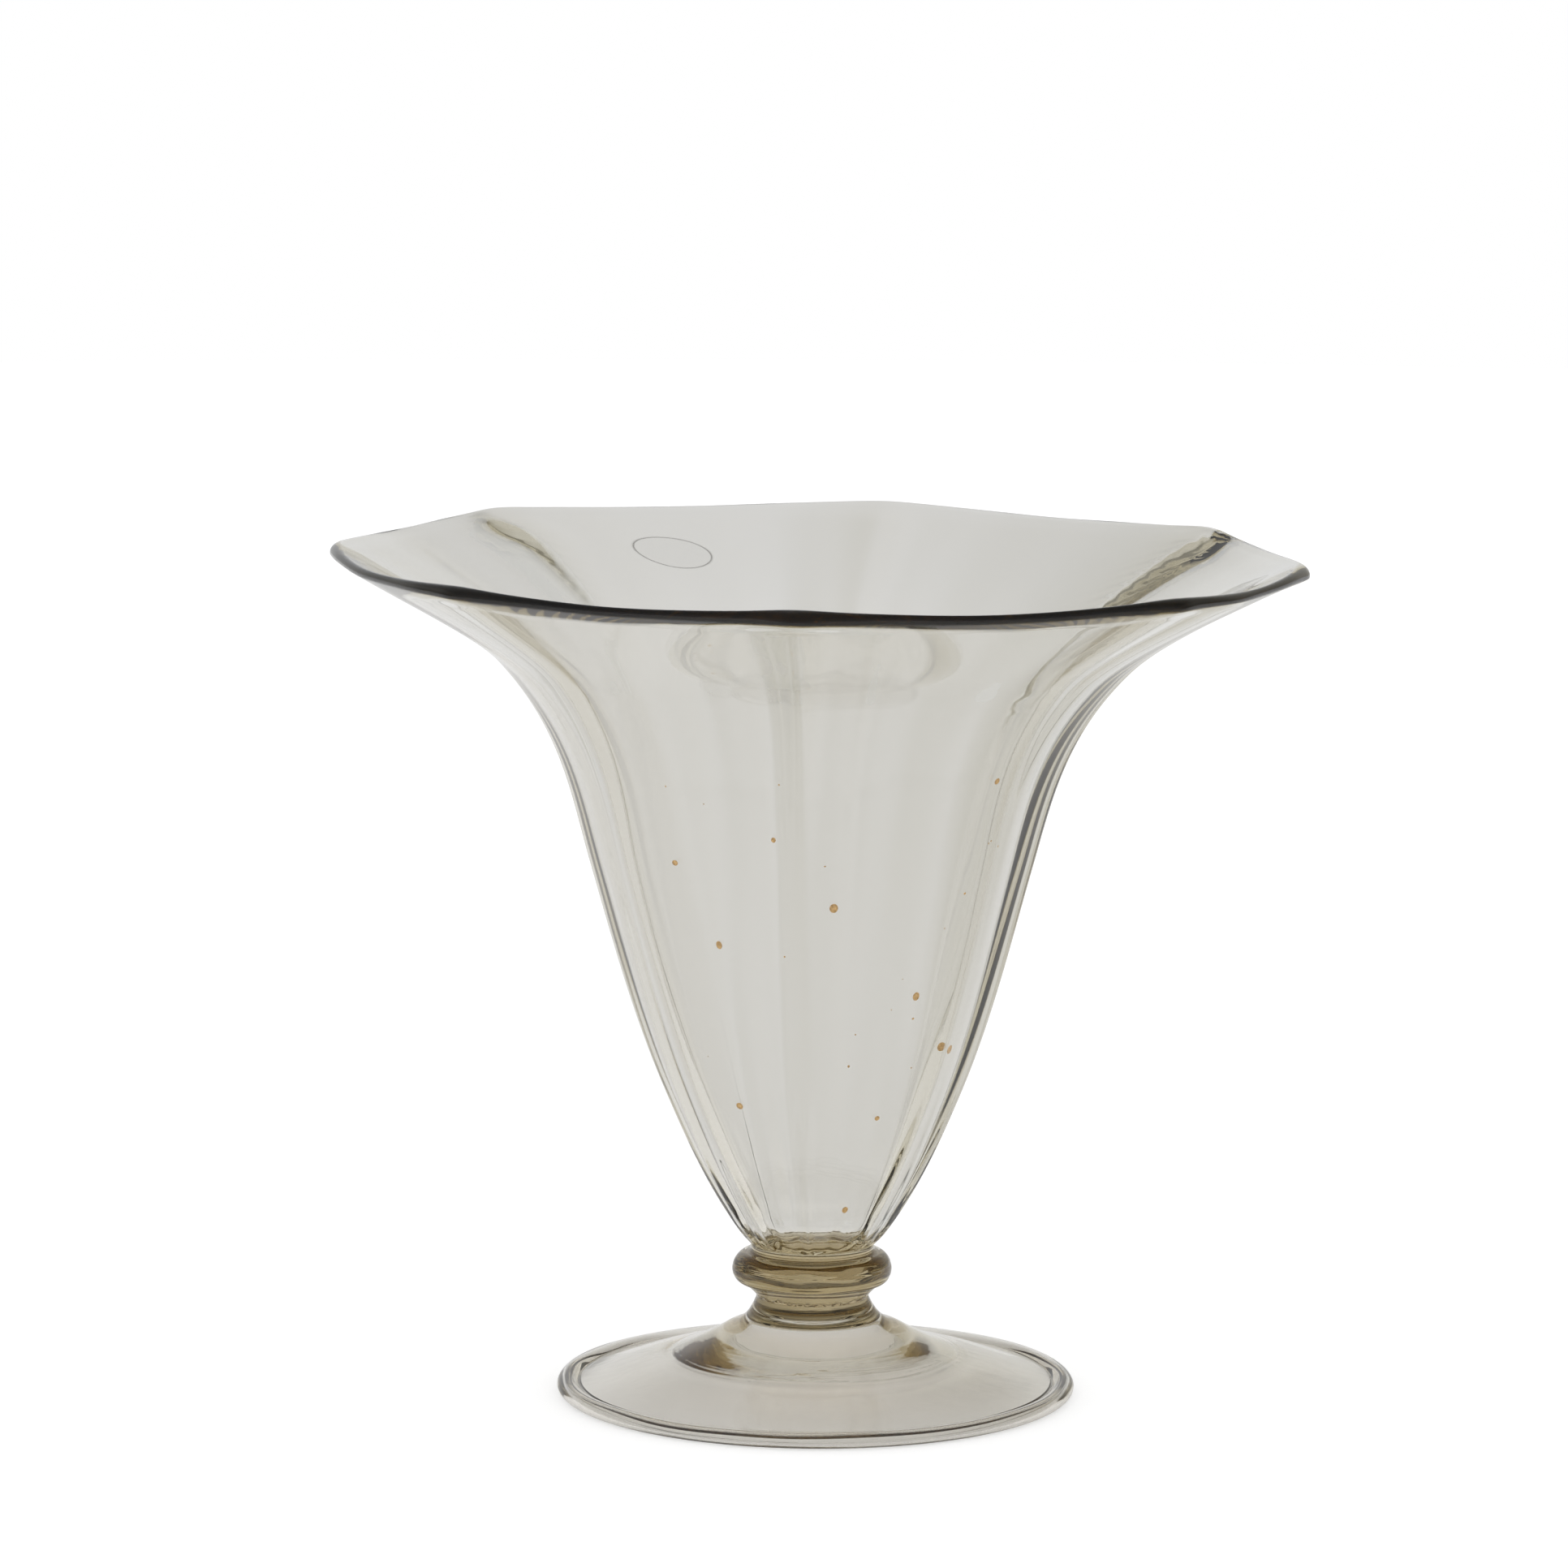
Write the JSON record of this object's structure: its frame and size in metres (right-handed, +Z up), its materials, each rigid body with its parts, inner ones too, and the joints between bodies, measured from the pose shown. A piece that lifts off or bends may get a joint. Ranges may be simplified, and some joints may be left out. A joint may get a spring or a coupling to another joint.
{
  "type": "trumpet vase",
  "caption": "Free-standing blown-glass trumpet vase with a ribbed flaring bowl, an applied collar, a short stem and a folded bell foot.",
  "frame": {"origin": "on the vase's axis, in the plane of the flat ring that the foot rests on", "axes": "+Z up along the vase's axis, out of its mouth; -Y towards the picture's camera; +X to the right in the picture"},
  "size_m": [0.2544, 0.2534, 0.2222],
  "materials": {
    "bowl_glass": "clear blown glass with a pale straw tint, fire-polished",
    "collar_glass": "clear blown glass, deeper straw tint where it is thick",
    "stem_glass": "clear blown glass, deeper straw tint where it is thick",
    "foot_glass": "clear blown glass with a pale straw tint and faint tool marks"
  },
  "bodies": {
    "root": {"bowl": "bowl_glass", "collar": "collar_glass", "stem": "stem_glass", "foot": "foot_glass"}
  },
  "joints": []
}
